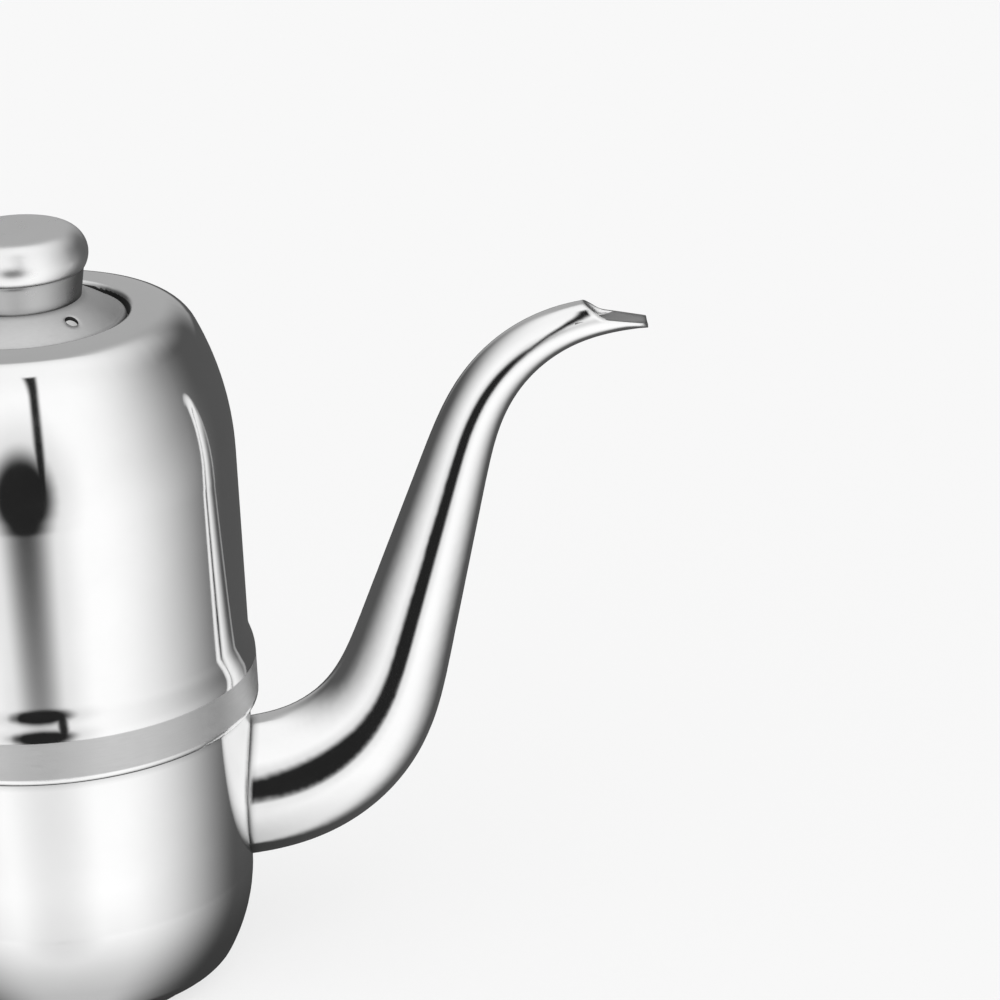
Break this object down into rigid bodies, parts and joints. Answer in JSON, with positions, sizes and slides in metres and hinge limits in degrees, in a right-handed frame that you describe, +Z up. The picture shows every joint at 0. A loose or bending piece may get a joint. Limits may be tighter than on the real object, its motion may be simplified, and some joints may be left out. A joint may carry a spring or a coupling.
{
  "type": "gooseneck kettle",
  "caption": "Polished steel pour-over kettle with a domed shoulder, a banded body, a lift-off lid with a bulb knob, a tapering gooseneck spout and a hollow loop handle.",
  "frame": {"origin": "centre of the flat base, on the axis of the body", "axes": "+Z up along the body's axis, +X towards the spout, -X towards the handle"},
  "size_m": [0.2598, 0.104, 0.202],
  "materials": {
    "polished_steel": "mirror-polished stainless steel",
    "satin_steel": "satin stainless steel",
    "fastener_steel": "plain stainless steel",
    "base_aluminium": "plain aluminium, wrapped in the base"
  },
  "bodies": {
    "kettle": {"upper_shell": "polished_steel", "lower_cup": "polished_steel", "base_core": "base_aluminium", "base_cap": "satin_steel", "lid_seat": "satin_steel", "spout": "polished_steel", "upper_bracket": "satin_steel", "lower_bracket": "satin_steel", "grip_outer": "polished_steel", "grip_inner": "polished_steel", "upper_pin": "fastener_steel", "lower_pin": "fastener_steel"},
    "lid": {"lid_cover": "satin_steel", "lid_skirt": "satin_steel", "knob_bulb": "polished_steel", "knob_collar": "polished_steel", "knob_boss": "fastener_steel", "knob_screw": "fastener_steel", "knob_washer": "fastener_steel"}
  },
  "joints": [
    {"name": "lid_lift", "type": "slide", "parent": "kettle", "child": "lid", "axis": [0, 0, 1], "range_m": [0, 0.04]}
  ]
}
